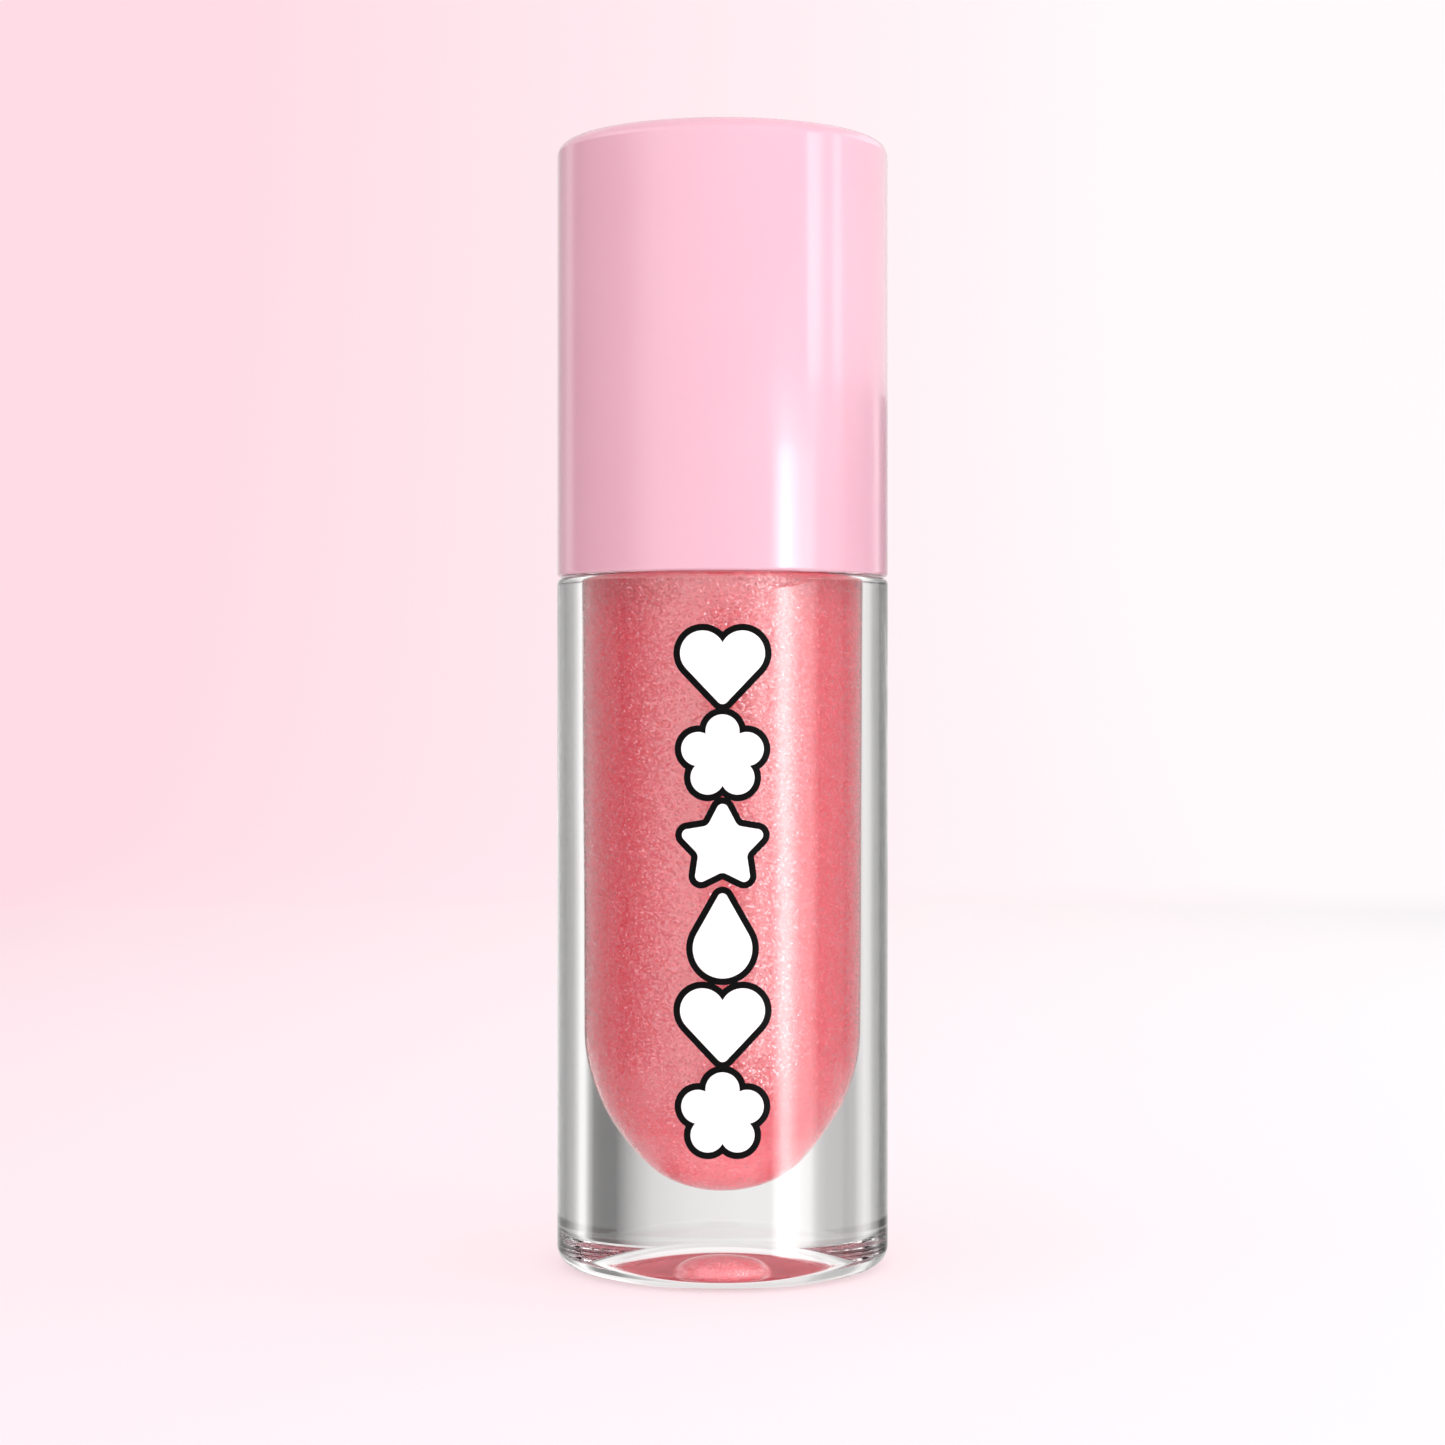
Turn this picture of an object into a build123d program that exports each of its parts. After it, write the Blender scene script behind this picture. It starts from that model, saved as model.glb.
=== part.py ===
from build123d import *
import os
from math import acos, atan2, cos, degrees, hypot, radians, sin

# Lip gloss tube: a thick-walled clear bottle filled with shimmer gloss, a wiper
# pressed into its neck, and a screw cap that carries the wand and its flocked tip.
# Millimetres, +Z up. The origin is the middle of the base, on the plane it stands on.

# ---- Overall sizes ----
OUTER_R = 11.0          # the bottle and the cap share one outer radius
SHOULDER_Z = 45.4       # flat top of the bottle's body
CAP_GAP = 0.1           # open line between the shoulder and the cap's skirt
TOTAL_H = 74.2          # top of the cap
CAP_Z = SHOULDER_Z + CAP_GAP

# ---- Bottle ----
BASE_FILLET = 1.2
SHOULDER_FILLET = 0.4
BASE_DOME_R = 5.8       # rim of the domed recess under the base
BASE_DOME_H = 2.0
BASE_DOME_FILLET = 0.2
CAVITY_Z = 5.4          # lowest point of the cavity, so also the base's thickness
CAVITY_NOSE = 10.0      # height of the bullet-shaped end
CAVITY_TIP_R = 3.9      # radius of the bullet's tip, tangent to its long side arc
CAVITY_R = 5.8          # where the nose ends
CAVITY_TOP_R = 5.95     # at the shoulder: the draft that lets the mould core out
NECK_BORE_R = 6.0
NECK_R = 7.2            # thread root
NECK_H = 9.4
NECK_TOP = SHOULDER_Z + NECK_H
NECK_ROOT_FILLET = 0.5
NECK_LIP_FILLET = 0.25

# ---- Screw thread: right-handed, one start ----
LEAD = 4.0
THREAD_BASE_W = 1.5
THREAD_CREST_W = 0.6
THREAD_SINK = 0.25      # how deep a ridge's root is buried in its wall
MALE_CREST_R = 8.0
FEMALE_CREST_R = 7.4
MALE_START_Z = 47.3     # middle of the ridge at angle 0
MALE_TURNS = 1.25
FEMALE_DROP = 1.0       # the cap's ridge bears on the bottle's from this far below it
FEMALE_START_DEG = 120.0
FEMALE_TURNS = 1.15

# ---- Wiper ----
WIPER_FLANGE_R = 6.95
WIPER_FLANGE_T = 0.7
WIPER_R = 5.85
WIPER_RING_R = 5.98     # sealing rings that grip the neck's bore
WIPER_RING_W = 0.5
WIPER_RING_DEPTHS = (1.2, 2.6, 4.0)
WIPER_MOUTH_R = 4.6
WIPER_BARREL_H = 4.6
WIPER_ORIFICE_R = 2.25
WIPER_LIP_R = 2.9
WIPER_DEPTH = 7.9       # from the neck's top to the wiping edge
WIPER_TOP = NECK_TOP + WIPER_FLANGE_T

# ---- Gloss ----
GLOSS_CLEARANCE = 0.02
GLOSS_LEVEL = 46.4
WELL_R = 2.25           # room in the liquid for the wand
WELL_Z = 8.7

# ---- Cap shell ----
SHELL_R = 9.9           # inside
SHELL_TOP_T = 1.6
SHELL_TOP_FILLET = 0.85
SHELL_RIM_FILLET = 0.25
SHELL_RIB_COUNT = 8
SHELL_RIB_T = 0.8
SHELL_RIB_R = 8.3       # inner edge of the ribs that hold the inner cap down

# ---- Inner cap ----
INNER_Z = 46.1
INNER_BORE_R = 8.15
INNER_R = 9.25
INNER_CEILING_Z = 56.4  # underside
INNER_CEILING_T = 1.4
INNER_RIB_COUNT = 12
INNER_RIB_T = 0.9
INNER_RIB_R = 9.86
SOCKET_R = 3.7
SOCKET_BORE_R = 2.4
SOCKET_TOP = 64.0
INNER_TOP = INNER_CEILING_Z + INNER_CEILING_T

# ---- Sealing washer ----
WASHER_R = 7.7
WASHER_HOLE_R = 3.4
WASHER_GAP = 0.05

# ---- Wand ----
STEM_R = 2.0
STEM_HEAD_R = 2.35      # pressed into the inner cap's socket
STEM_BARB_R = 2.75      # snaps out above the socket
STEM_BARB_H = 1.4
STEM_FLANGE_R = 3.15
STEM_FLANGE_Z = 55.45
PLUG_R = 4.35           # cone that closes the wiper's mouth
PLUG_TIP_R = 3.9
PLUG_Z = 53.0
PLUG_TAPER_H = 1.6
STEM_Z = 22.0           # lower end of the stem
SHANK_R = 0.9           # the applicator's shank, inside the stem
SHANK_H = 6.0
SHANK_CLEARANCE = 0.03
TIP_Z = 9.0             # lowest point of the flocked tip
TIP_R = 2.15            # over the flock
TIP_WIDEST_Z = 13.5
TIP_WAIST_R = 1.6
FLOCK_T = 0.35
FACE_LEAN = 14.0        # degrees between the flat wiping face and the wand's axis
FACE_X = -0.3           # where that face meets the tip's lowest plane

# ---- Print on the front ----
INK_T = 0.05
PRINT_W = 6.2           # over the outline
PRINT_LOW = 8.4
PRINT_HIGH = 42.2
OUTLINE_W = 0.42


def lathe(face):
    """A solid of revolution about Z from a face drawn in the XZ plane."""
    return revolve(face, axis=Axis.Z, revolution_arc=360)


def outline(points, fillets=()):
    """A closed face in the XZ plane through (radius, height) points. fillets holds (index, radius)."""
    flat = make_face(Polyline(*points, close=True))
    for index, radius in fillets:
        corner = flat.vertices().sort_by_distance((*points[index], 0))[0]
        flat = fillet(corner, radius)
    return Plane.XZ * flat


def tube(outer_r, inner_r, low, high):
    """A plain ring between two heights."""
    ring = Cylinder(outer_r, high - low, align=(Align.CENTER, Align.CENTER, Align.MIN))
    ring -= Cylinder(inner_r, high - low, align=(Align.CENTER, Align.CENTER, Align.MIN))
    return Pos(0, 0, low) * ring


def tube_core(radius, low, high):
    """A plain cylinder between two heights."""
    return Pos(0, 0, low) * Cylinder(radius, high - low, align=(Align.CENTER, Align.CENTER, Align.MIN))


def thread(root_r, crest_r, start_z, turns, start_deg):
    """A trapezoidal ridge wound right-handed. The crest may lie outside or inside the root."""
    way = 1 if crest_r > root_r else -1
    buried_r = root_r - way * THREAD_SINK
    half_base = THREAD_BASE_W / 2
    half_crest = THREAD_CREST_W / 2
    profile = Plane.XZ * make_face(
        Polyline(
            (buried_r, -half_base),
            (crest_r, -half_crest),
            (crest_r, half_crest),
            (buried_r, half_base),
            close=True,
        )
    )
    path = Helix(pitch=LEAD, height=LEAD * turns, radius=root_r)
    ridge = sweep(profile, path=path, is_frenet=True)
    return Pos(0, 0, start_z) * Rot(0, 0, start_deg) * ridge


def cavity_face(shrink, top):
    """Half of the bullet-shaped cavity, closed at a height, with every wall moved inwards by shrink."""
    nose_z = CAVITY_Z + CAVITY_NOSE
    rise = CAVITY_NOSE - CAVITY_TIP_R
    side_r = (CAVITY_R**2 + rise**2 - CAVITY_TIP_R**2) / (2 * (CAVITY_R - CAVITY_TIP_R))
    turn = degrees(atan2(rise, side_r - CAVITY_R))
    tip = CenterArc((0, CAVITY_Z + CAVITY_TIP_R), CAVITY_TIP_R - shrink, -90, 90 - turn)
    side = CenterArc((CAVITY_R - side_r, nose_z), side_r - shrink, -turn, turn)
    walls = Polyline(
        (CAVITY_R - shrink, nose_z),
        (CAVITY_TOP_R - shrink, SHOULDER_Z),
        (NECK_BORE_R - shrink, SHOULDER_Z + 0.5),
        (NECK_BORE_R - shrink, top),
        (0, top),
        (0, CAVITY_Z + shrink),
    )
    return Plane.XZ * make_face([tip, side, walls])


def bottle():
    """Thick clear wall, domed recess under the base, bullet cavity, threaded neck."""
    body = lathe(
        outline(
            [(0, 0), (OUTER_R, 0), (OUTER_R, SHOULDER_Z), (NECK_R, SHOULDER_Z), (NECK_R, NECK_TOP), (0, NECK_TOP)],
            [(1, BASE_FILLET), (2, SHOULDER_FILLET), (3, NECK_ROOT_FILLET), (4, NECK_LIP_FILLET)],
        )
    )
    body += thread(NECK_R, MALE_CREST_R, MALE_START_Z, MALE_TURNS, 0)
    body -= lathe(cavity_face(0, NECK_TOP + 1))
    dome_r = (BASE_DOME_R**2 + BASE_DOME_H**2) / (2 * BASE_DOME_H)
    body -= Pos(0, 0, BASE_DOME_H - dome_r) * Sphere(dome_r)
    circles = body.edges().filter_by(GeomType.CIRCLE)
    return fillet(circles.sort_by(Axis.Z).group_by(Axis.Z)[0].sort_by(SortBy.RADIUS)[0], BASE_DOME_FILLET)


def wiper():
    """Soft plug in the neck: flange on the lip, ringed barrel, funnel down to the wiping edge."""
    barrel_z = NECK_TOP - WIPER_BARREL_H
    edge_z = NECK_TOP - WIPER_DEPTH
    body = lathe(
        outline(
            [
                (WIPER_MOUTH_R, WIPER_TOP),
                (WIPER_FLANGE_R, WIPER_TOP),
                (WIPER_FLANGE_R, NECK_TOP),
                (WIPER_R, NECK_TOP),
                (WIPER_R, barrel_z),
                (WIPER_LIP_R, edge_z),
                (WIPER_ORIFICE_R, edge_z),
                (WIPER_ORIFICE_R, edge_z + 0.5),
                (WIPER_MOUTH_R, barrel_z + 0.6),
            ],
            [(0, 0.3), (1, 0.2)],
        )
    )
    for depth in WIPER_RING_DEPTHS:
        ring_z = NECK_TOP - depth
        body += tube(WIPER_RING_R, WIPER_MOUTH_R + 0.3, ring_z - WIPER_RING_W / 2, ring_z + WIPER_RING_W / 2)
    return body


def gloss():
    """The liquid, with a round-ended well where the wand stands in it."""
    liquid = lathe(cavity_face(GLOSS_CLEARANCE, GLOSS_LEVEL))
    well = Pos(0, 0, WELL_Z + WELL_R) * Sphere(WELL_R)
    well += tube_core(WELL_R, WELL_Z + WELL_R, GLOSS_LEVEL + 1)
    return liquid - well


def ribs(count, thickness, inner_r, outer_r, low, high):
    """Radial fins spread evenly round the axis."""
    fin = Pos((inner_r + outer_r) / 2, 0, (low + high) / 2) * Box(outer_r - inner_r, thickness, high - low)
    fins = [Rot(0, 0, 360 * n / count) * fin for n in range(count)]
    joined = fins[0]
    for extra in fins[1:]:
        joined += extra
    return joined


def cap_shell():
    """Opaque outer cap, open below, with fins inside that hold the inner cap down."""
    ceiling = TOTAL_H - SHELL_TOP_T
    shell = lathe(
        outline(
            [(0, CAP_Z), (OUTER_R, CAP_Z), (OUTER_R, TOTAL_H), (0, TOTAL_H)],
            [(1, SHELL_RIM_FILLET), (2, SHELL_TOP_FILLET)],
        )
    )
    shell -= lathe(outline([(0, CAP_Z - 1), (SHELL_R, CAP_Z - 1), (SHELL_R, ceiling), (0, ceiling)], [(2, 0.6)]))
    fins_z = INNER_TOP + 0.05
    return shell + ribs(SHELL_RIB_COUNT, SHELL_RIB_T, SHELL_RIB_R, SHELL_R + 0.3, fins_z, ceiling + 0.3)


def inner_cap():
    """Threaded liner with outside ribs, and a socket above its ceiling for the wand's head."""
    cup = tube_core(INNER_R, INNER_Z, INNER_TOP) - tube_core(INNER_BORE_R, INNER_Z, INNER_CEILING_Z)
    cup += tube_core(SOCKET_R, INNER_TOP - 0.2, SOCKET_TOP)
    cup += ribs(INNER_RIB_COUNT, INNER_RIB_T, INNER_R - 0.4, INNER_RIB_R, INNER_Z + 0.6, INNER_TOP - 0.3)
    female_z = MALE_START_Z - FEMALE_DROP + LEAD * FEMALE_START_DEG / 360
    cup += thread(INNER_BORE_R, FEMALE_CREST_R, female_z, FEMALE_TURNS, FEMALE_START_DEG)
    return cup - tube_core(SOCKET_BORE_R, INNER_CEILING_Z - 1, SOCKET_TOP + 1)


def sealing_washer():
    """Foam ring between the wiper's flange and the inner cap's ceiling."""
    ring = tube(WASHER_R, WASHER_HOLE_R, WIPER_TOP + WASHER_GAP, INNER_CEILING_Z - WASHER_GAP)
    return fillet(ring.edges().filter_by(GeomType.CIRCLE), 0.15)


def wand_stem():
    """Rod with a barbed head for the socket, a stop flange, a sealing cone, and a bore for the shank."""
    barb_z = SOCKET_TOP + 0.05
    rod = lathe(
        outline(
            [
                (0, STEM_Z),
                (STEM_R, STEM_Z),
                (STEM_R, PLUG_Z - PLUG_TAPER_H),
                (PLUG_TIP_R, PLUG_Z),
                (PLUG_R, STEM_FLANGE_Z),
                (STEM_FLANGE_R, STEM_FLANGE_Z),
                (STEM_FLANGE_R, INNER_CEILING_Z),
                (STEM_HEAD_R, INNER_CEILING_Z),
                (STEM_HEAD_R, barb_z),
                (STEM_BARB_R, barb_z),
                (STEM_BARB_R - 0.9, barb_z + STEM_BARB_H),
                (0, barb_z + STEM_BARB_H),
            ],
            [(1, 0.2), (2, 0.8), (3, 0.3), (10, 0.3)],
        )
    )
    return rod - tube_core(SHANK_R + SHANK_CLEARANCE, STEM_Z - 1, STEM_Z + SHANK_H + 0.2)


def tip_form(skin):
    """The doe-foot form, with every face moved in by skin from the flocked surface."""
    low = TIP_Z + skin
    widest = (TIP_R - skin, TIP_WIDEST_Z)
    waist = (TIP_WAIST_R - skin, STEM_Z)
    nose = Spline((0, low), widest, tangents=[(1, 0), (0, 1)], tangent_scalars=[1.3, 1.3])
    flank = Spline(widest, waist, tangents=[(0, 1), (0, 1)])
    closing = Polyline(waist, (0, STEM_Z), (0, low))
    form = lathe(Plane.XZ * make_face([nose, flank, closing]))
    lean = radians(FACE_LEAN)
    outward = Vector(-cos(lean), 0, -sin(lean))
    face = Plane(Vector(FACE_X, 0, TIP_Z) - outward * skin, z_dir=outward)
    return form - face * Box(30, 30, 20, align=(Align.CENTER, Align.CENTER, Align.MIN))


def applicator_tip():
    """Springy core of the doe-foot, with the shank that is pushed into the stem."""
    return tip_form(FLOCK_T) + tube_core(SHANK_R, STEM_Z - 1, STEM_Z + SHANK_H)


def flock_coat():
    """The layer of short fibres bonded over the core."""
    return tip_form(0) - tip_form(FLOCK_T)


def on_circle(centre, radius, angle):
    """The point of a circle at an angle in degrees from the first axis."""
    return (centre[0] + radius * cos(radians(angle)), centre[1] + radius * sin(radians(angle)))


def heart(size):
    """A plump heart, size wide: two lobes whose outer sides run straight to a small round tip."""
    lobe_r = size * 0.265
    lobe = (size * 0.5 - lobe_r, size * 0.17)
    tip = (0, -size * 0.36)
    tip_r = size * 0.07
    slope = degrees(atan2(tip[1] - lobe[1], -lobe[0]))
    leave = slope + degrees(acos((lobe_r - tip_r) / hypot(lobe[0], lobe[1] - tip[1])))
    notch = degrees(acos(-lobe[0] / lobe_r))
    right = [
        CenterArc(lobe, lobe_r, leave, notch - leave),
        Line(on_circle(lobe, lobe_r, leave), on_circle(tip, tip_r, leave)),
    ]
    left = [mirror(edge, about=Plane.YZ) for edge in right]
    return make_face(right + [CenterArc(tip, tip_r, -180 - leave, 180 + 2 * leave)] + left)


def flower(size):
    """Five round petals, size across."""
    petal_r = size * 0.2
    reach = size * 0.5 - petal_r
    petals = [Rot(0, 0, 90 + 72 * n) * Pos(reach, 0) * Circle(petal_r) for n in range(5)]
    return Sketch() + Circle(reach) + petals


def star(size):
    """Five blunt points, size across."""
    corners = []
    for n in range(10):
        radius = size * (0.30 if n % 2 else 0.58)
        angle = radians(90 + 36 * n)
        corners.append((radius * cos(angle), radius * sin(angle)))
    shape = make_face(Polyline(*corners, close=True))
    by_radius = shape.vertices().sort_by_distance((0, 0, 0))
    shape = fillet(by_radius[:5], OUTLINE_W * 1.3)
    by_radius = shape.vertices().sort_by_distance((0, 0, 0))
    return fillet(by_radius[-5:], size * 0.07)


def drop(size):
    """A drop, point upwards, size tall."""
    round_r = size * 0.35
    low = (0, round_r - size * 0.5)
    tip_r = size * 0.06
    tip = (0, size * 0.5 - tip_r)
    half = degrees(acos((round_r - tip_r) / (tip[1] - low[1])))
    sides = [
        Line(on_circle(low, round_r, angle), on_circle(tip, tip_r, angle))
        for angle in (90 - half, 90 + half)
    ]
    return make_face(
        [CenterArc(low, round_r, 90 + half, 360 - 2 * half), CenterArc(tip, tip_r, 90 - half, 2 * half)] + sides
    )


MOTIFS = [heart, flower, star, drop, heart, flower]


def motif_column():
    """The motifs one above the other, as flat faces, so close that their outlines run together."""
    pitch = (PRINT_HIGH - PRINT_LOW) / len(MOTIFS)
    size = PRINT_W - 2 * OUTLINE_W
    column = []
    for number, motif in enumerate(MOTIFS):
        middle = PRINT_HIGH - pitch * (number + 0.5)
        column.append(Pos(0, middle) * motif(size))
    return column


def stamp(flat):
    """A flat face seen from the front, carried forward from the axis to beyond the bottle's wall."""
    return extrude(Plane.XZ * flat, amount=OUTER_R + 1, dir=(0, -1, 0))


def ink(flat):
    """A skin of ink on the bottle's front, in the shape of a flat face."""
    return (stamp(flat) & tube_core(OUTER_R + INK_T, 0, SHOULDER_Z)) - tube_core(OUTER_R, 0, SHOULDER_Z)


def print_fill():
    """The white insides of the motifs."""
    return Compound(children=[ink(face) for face in motif_column()])


def print_outline():
    """The dark line round them, run together where two motifs meet."""
    line = Part()
    for face in motif_column():
        line += ink(offset(face, OUTLINE_W))
    for face in motif_column():
        line -= stamp(face)
    return Compound(children=line.solids())


PIECES = {
    "bottle": bottle,
    "wiper": wiper,
    "gloss": gloss,
    "cap_shell": cap_shell,
    "inner_cap": inner_cap,
    "sealing_washer": sealing_washer,
    "wand_stem": wand_stem,
    "applicator_tip": applicator_tip,
    "flock_coat": flock_coat,
    "print_fill": print_fill,
    "print_outline": print_outline,
}

os.makedirs("parts", exist_ok=True)
for name, make in PIECES.items():
    export_step(make(), f"parts/{name}.step")
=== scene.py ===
"""Looks for the lip gloss tube: clear bottle, shimmer gloss, wiper, screw cap and wand. Metres, +Z up."""

from math import acos, atan2, cos, pi, radians, sin, sqrt, tan

import bmesh
import bpy
import numpy as np
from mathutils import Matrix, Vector


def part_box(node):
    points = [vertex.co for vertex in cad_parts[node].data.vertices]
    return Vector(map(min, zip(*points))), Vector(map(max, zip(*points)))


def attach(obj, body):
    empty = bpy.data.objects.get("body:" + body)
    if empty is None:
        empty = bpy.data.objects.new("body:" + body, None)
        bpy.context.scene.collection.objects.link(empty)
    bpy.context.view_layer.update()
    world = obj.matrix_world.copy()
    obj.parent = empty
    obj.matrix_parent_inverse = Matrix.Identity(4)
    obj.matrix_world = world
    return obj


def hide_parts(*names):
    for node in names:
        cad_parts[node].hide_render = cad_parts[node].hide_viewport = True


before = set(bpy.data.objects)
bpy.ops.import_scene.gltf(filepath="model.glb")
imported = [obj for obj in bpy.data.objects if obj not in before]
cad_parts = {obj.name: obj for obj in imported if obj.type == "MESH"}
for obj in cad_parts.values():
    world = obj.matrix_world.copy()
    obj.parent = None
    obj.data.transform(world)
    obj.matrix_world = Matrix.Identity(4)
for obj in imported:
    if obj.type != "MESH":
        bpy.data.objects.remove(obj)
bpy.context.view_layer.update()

MM = 0.001
SEGMENTS = 256  # round a turned piece, unless it says otherwise

# ---- Sizes in millimetres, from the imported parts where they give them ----
OUTER_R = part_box("bottle")[1].x / MM
NECK_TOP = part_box("bottle")[1].z / MM
CAP_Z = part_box("cap_shell")[0].z / MM
CAP_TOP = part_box("cap_shell")[1].z / MM
CAP_GAP = 0.1  # open line between the shoulder and the cap
SHOULDER_Z = CAP_Z - CAP_GAP

# bottle
BASE_FILLET = 1.2
SHOULDER_FILLET = 0.4
DOME_R = 5.8  # rim of the domed recess under the base
DOME_H = 2.0
DOME_FILLET = 0.2
CAVITY_Z = 5.4  # lowest point, so also the base's thickness
CAVITY_NOSE = 10.0  # height of the bullet-shaped end
CAVITY_TIP_R = 3.9
CAVITY_R = 5.8  # where the nose ends
CAVITY_TOP_R = 5.95
NECK_BORE_R = 6.0
NECK_R = 7.2  # thread root
NECK_ROOT_FILLET = 0.5
NECK_LIP_FILLET = 0.25

# screw thread, right-handed
LEAD = 4.0
THREAD_HALF_BASE = 0.75
THREAD_HALF_CREST = 0.3
MALE_CREST_R = 8.0
MALE_START_Z = 47.3  # middle of the ridge at angle 0
MALE_TURNS = 1.25
FEMALE_CREST_R = 7.4
FEMALE_DROP = 1.0
FEMALE_START_DEG = 120.0
FEMALE_TURNS = 1.15
THREAD_FADE_DEG = 28.0  # how far a ridge takes to run out at each end

# gloss
WETTED = 0.02  # how far the liquid reaches into the wall, so that no air shows between them
GLOSS_LEVEL = 46.4
MENISCUS = 0.35
MENISCUS_REACH = 0.9
WELL_R = 2.25  # room in the liquid for the wand
WELL_Z = 8.7

# wiper
WIPER_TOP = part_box("wiper")[1].z / MM
WIPER_EDGE_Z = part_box("wiper")[0].z / MM
WIPER_FLANGE_R = 6.95
WIPER_R = 5.85
WIPER_RING_R = 5.98
WIPER_RING_DEPTHS = (1.2, 2.6, 4.0)
WIPER_MOUTH_R = 4.6
WIPER_BARREL_H = 4.6
WIPER_LIP_R = 2.9
WIPER_ORIFICE_R = 2.25

# cap
SHELL_R = 9.9  # inside
SHELL_TOP_T = 1.6
SHELL_TOP_FILLET = 0.85
SHELL_RIM_FILLET = 0.25
SHELL_RIB_COUNT = 8
SHELL_RIB_T = 0.8
SHELL_RIB_R = 8.3
INNER_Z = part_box("inner_cap")[0].z / MM
INNER_BORE_R = 8.15
INNER_R = 9.25
INNER_CEILING_Z = 56.4
INNER_TOP = 57.8
INNER_RIB_COUNT = 12
INNER_RIB_T = 0.9
INNER_RIB_R = 9.86
SOCKET_R = 3.7
SOCKET_BORE_R = 2.4
SOCKET_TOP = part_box("inner_cap")[1].z / MM
WASHER_R = 7.7
WASHER_HOLE_R = 3.4

# wand
STEM_R = 2.0
STEM_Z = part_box("wand_stem")[0].z / MM
STEM_HEAD_R = 2.35
STEM_BARB_R = 2.75
STEM_BARB_H = 1.4
STEM_BARB_TIP_R = 1.85
STEM_FLANGE_R = 3.15
STEM_FLANGE_Z = 55.45
PLUG_R = 4.35  # cone that closes the wiper's mouth
PLUG_TIP_R = 3.9
PLUG_Z = 53.0
PLUG_TAPER_H = 1.6
SHANK_HOLE_R = 0.93
SHANK_HOLE_H = 6.2
TIP_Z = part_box("flock_coat")[0].z / MM
TIP_R = 2.15  # over the flock
TIP_WIDEST_Z = 13.5
TIP_WAIST_R = 1.6
TIP_FULLNESS = 2.9  # 2 would make the nose an ellipse
FACE_LEAN = radians(14.0)
FACE_X = -0.3  # where the flat wiping face meets the tip's lowest plane
BED_DEPTH = 0.2  # how far the flock's bed lies inside the tip's outline
FIBRE_COUNT = 11000
FIBRE_LENGTH = 0.26
FIBRE_R = 0.028
FIBRE_SCATTER = 0.35

# print
PRINT_STRIP = 0.2  # about how wide the flat strips of the round print are


# ---------------------------------------------------------------- meshes


def rounded(corners, steps=8):
    """Points along (r, z) corners. A corner written (r, z, radius) becomes an arc of that radius."""
    points = []
    for here, corner in enumerate(corners):
        if len(corner) == 2:
            points.append(corner)
            continue
        middle = np.array(corner[:2])
        before = np.array(corners[here - 1][:2]) - middle
        after = np.array(corners[(here + 1) % len(corners)][:2]) - middle
        before /= np.linalg.norm(before)
        after /= np.linalg.norm(after)
        half = acos(float(np.clip(before @ after, -1, 1))) / 2
        bisector = (before + after) / np.linalg.norm(before + after)
        centre = middle + bisector * corner[2] / sin(half)
        start = middle + before * corner[2] / tan(half) - centre
        end = middle + after * corner[2] / tan(half) - centre
        first = atan2(start[1], start[0])
        sweep = (atan2(end[1], end[0]) - first + pi) % (2 * pi) - pi
        for n in range(steps + 1):
            angle = first + sweep * n / steps
            points.append((centre[0] + corner[2] * cos(angle), centre[1] + corner[2] * sin(angle)))
    return points


def rows(start, end, count):
    """Points on a straight run, ends included."""
    return [tuple(p) for p in np.linspace(start, end, count)]


def lathe(name, profile, closed=True, swell=None, segments=SEGMENTS):
    """A turned mesh from (r, z) points in mm. swell(angles, r, z) may change the radius round a ring."""
    angles = np.arange(segments) * 2 * pi / segments
    mesh = bmesh.new()
    rings = []
    for r, z in profile:
        if r < 1e-6:
            rings.append([mesh.verts.new((0, 0, z * MM))])
            continue
        radii = np.full(segments, float(r)) if swell is None else swell(angles, r, z)
        rings.append(
            [
                mesh.verts.new((radius * cos(a) * MM, radius * sin(a) * MM, z * MM))
                for radius, a in zip(radii, angles)
            ]
        )
    pairs = list(zip(rings, rings[1:]))
    if closed and len(rings[0]) > 1:
        pairs.append((rings[-1], rings[0]))
    for low, high in pairs:
        for n in range(segments):
            m = (n + 1) % segments
            corners = [low[n % len(low)], low[m % len(low)], high[m % len(high)], high[n % len(high)]]
            unique = list(dict.fromkeys(corners))
            if len(unique) > 2:
                mesh.faces.new(unique)
    bmesh.ops.recalc_face_normals(mesh, faces=mesh.faces)
    return finished(name, mesh)


def finished(name, mesh, sharp=35):
    """Turns a bmesh into a linked object, shaded smooth but for its sharp edges."""
    data = bpy.data.meshes.new(name)
    mesh.to_mesh(data)
    mesh.free()
    data.polygons.foreach_set("use_smooth", [True] * len(data.polygons))
    data.set_sharp_from_angle(angle=radians(sharp))
    piece = bpy.data.objects.new(name, data)
    bpy.context.scene.collection.objects.link(piece)
    return piece


def place(piece, body, material, slot, *nodes):
    """Gives a piece its material and its body, and hides the nodes that it stands for. The slot is not
    used.
    """
    piece.data.materials.clear()
    piece.data.materials.append(material)
    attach(piece, body)
    if nodes:
        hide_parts(*nodes)
    return piece


# ---------------------------------------------------------------- node helpers


def new_material(name):
    """An empty node material with a Principled shader. Returns (material, nodes, links, shader)."""
    material = bpy.data.materials.new(name)
    material.use_nodes = True
    tree = material.node_tree
    shader = next(n for n in tree.nodes if n.type == "BSDF_PRINCIPLED")
    return material, tree.nodes, tree.links, shader


def linear(red, green, blue):
    """An sRGB colour of 0 to 255 as a linear RGBA."""
    parts = []
    for value in (red, green, blue):
        share = value / 255
        parts.append(share / 12.92 if share <= 0.04045 else ((share + 0.055) / 1.055) ** 2.4)
    return (*parts, 1.0)


def object_coordinates(nodes):
    """Places on the piece in metres, the same in every pose."""
    return nodes.new("ShaderNodeTexCoord").outputs["Object"]


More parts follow.
